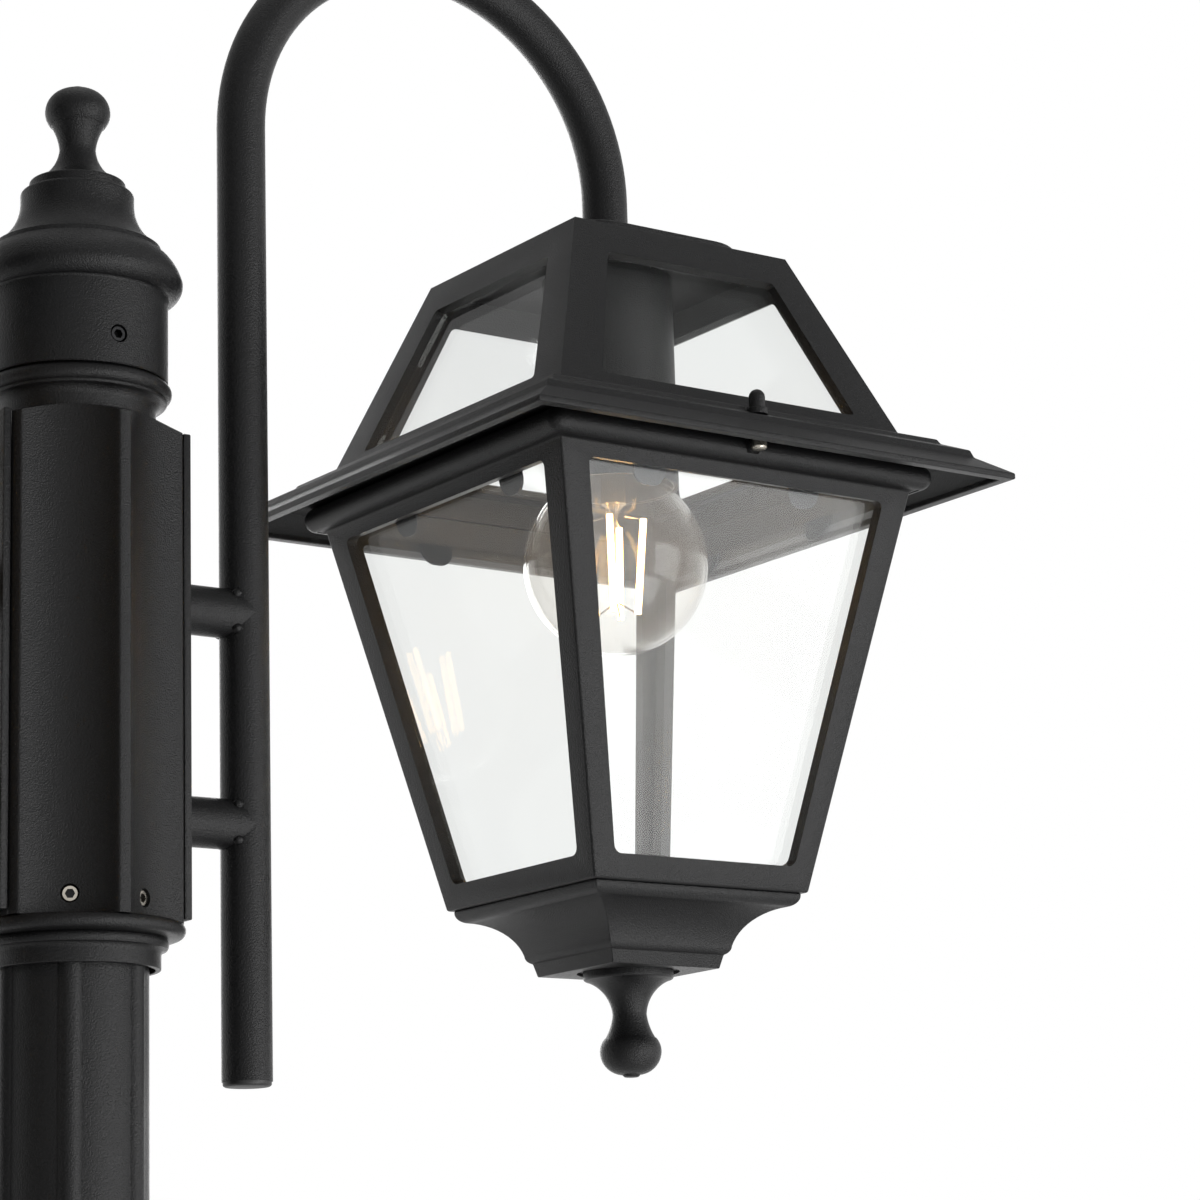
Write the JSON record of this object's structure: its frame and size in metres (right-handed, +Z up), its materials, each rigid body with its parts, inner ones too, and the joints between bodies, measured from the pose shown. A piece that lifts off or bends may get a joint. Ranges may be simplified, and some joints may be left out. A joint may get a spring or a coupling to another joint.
{
  "type": "two-light lamp post",
  "caption": "Black garden lamp post: fluted pole with a cast hub, twin swan-neck brackets and tapered glazed lanterns, each with a clear filament bulb.",
  "frame": {"origin": "centre of the base flange's underside, on the post's axis", "axes": "+Z up along the pole, X along the two arms, with lanterns at +X (right) and -X (left)"},
  "size_m": [0.572, 0.19, 1.9805],
  "materials": {
    "black_powder_coat": "satin",
    "black_plastic": "matte",
    "pale_plastic": "matte",
    "steel": "satin",
    "dark_steel": "satin",
    "zinc_steel": "satin",
    "nickel": "gloss",
    "pane_glass": "gloss",
    "bulb_clear": "gloss",
    "stem_clear": "gloss",
    "warm_filament": "matte"
  },
  "bodies": {
    "root": {"arm_nut_left": "zinc_steel", "arm_nut_right": "zinc_steel", "base_cup_left": "black_powder_coat", "base_cup_right": "black_powder_coat", "base_set_screws": "steel", "bracket_left": "black_powder_coat", "bracket_right": "black_powder_coat", "bulb_cap_left": "nickel", "bulb_cap_right": "nickel", "bulb_filaments_left": "warm_filament", "bulb_filaments_right": "warm_filament", "bulb_glass_left": "bulb_clear", "bulb_glass_right": "bulb_clear", "bulb_stem_left": "stem_clear", "bulb_stem_right": "stem_clear", "cage_pane_1_left": "pane_glass", "cage_pane_1_right": "pane_glass", "cage_pane_2_left": "pane_glass", "cage_pane_2_right": "pane_glass", "cage_pane_3_left": "pane_glass", "cage_pane_3_right": "pane_glass", "cage_pane_4_left": "pane_glass", "cage_pane_4_right": "pane_glass", "cage_screws_left": "steel", "cage_screws_right": "steel", "cap_grub_screw": "dark_steel", "cap_nuts_left": "black_powder_coat", "cap_nuts_right": "black_powder_coat", "drop_finial_left": "black_powder_coat", "drop_finial_right": "black_powder_coat", "holder_sleeve_left": "black_powder_coat", "holder_sleeve_right": "black_powder_coat", "hub": "black_powder_coat", "hub_set_screws": "steel", "lampholder_left": "black_plastic", "lampholder_right": "black_plastic", "lantern_cage_left": "black_powder_coat", "lantern_cage_right": "black_powder_coat", "lantern_roof_left": "black_powder_coat", "lantern_roof_right": "black_powder_coat", "pane_clips_left": "black_powder_coat", "pane_clips_right": "black_powder_coat", "plate_screws": "dark_steel", "pole": "black_powder_coat", "pole_spigot": "zinc_steel", "post_base": "black_powder_coat", "post_cap": "black_powder_coat", "post_finial": "black_powder_coat", "roof_pane_1_left": "pane_glass", "roof_pane_1_right": "pane_glass", "roof_pane_2_left": "pane_glass", "roof_pane_2_right": "pane_glass", "roof_pane_3_left": "pane_glass", "roof_pane_3_right": "pane_glass", "roof_pane_4_left": "pane_glass", "roof_pane_4_right": "pane_glass", "terminal_block": "pale_plastic", "tube_plug_left": "black_plastic", "tube_plug_right": "black_plastic"}
  },
  "joints": []
}
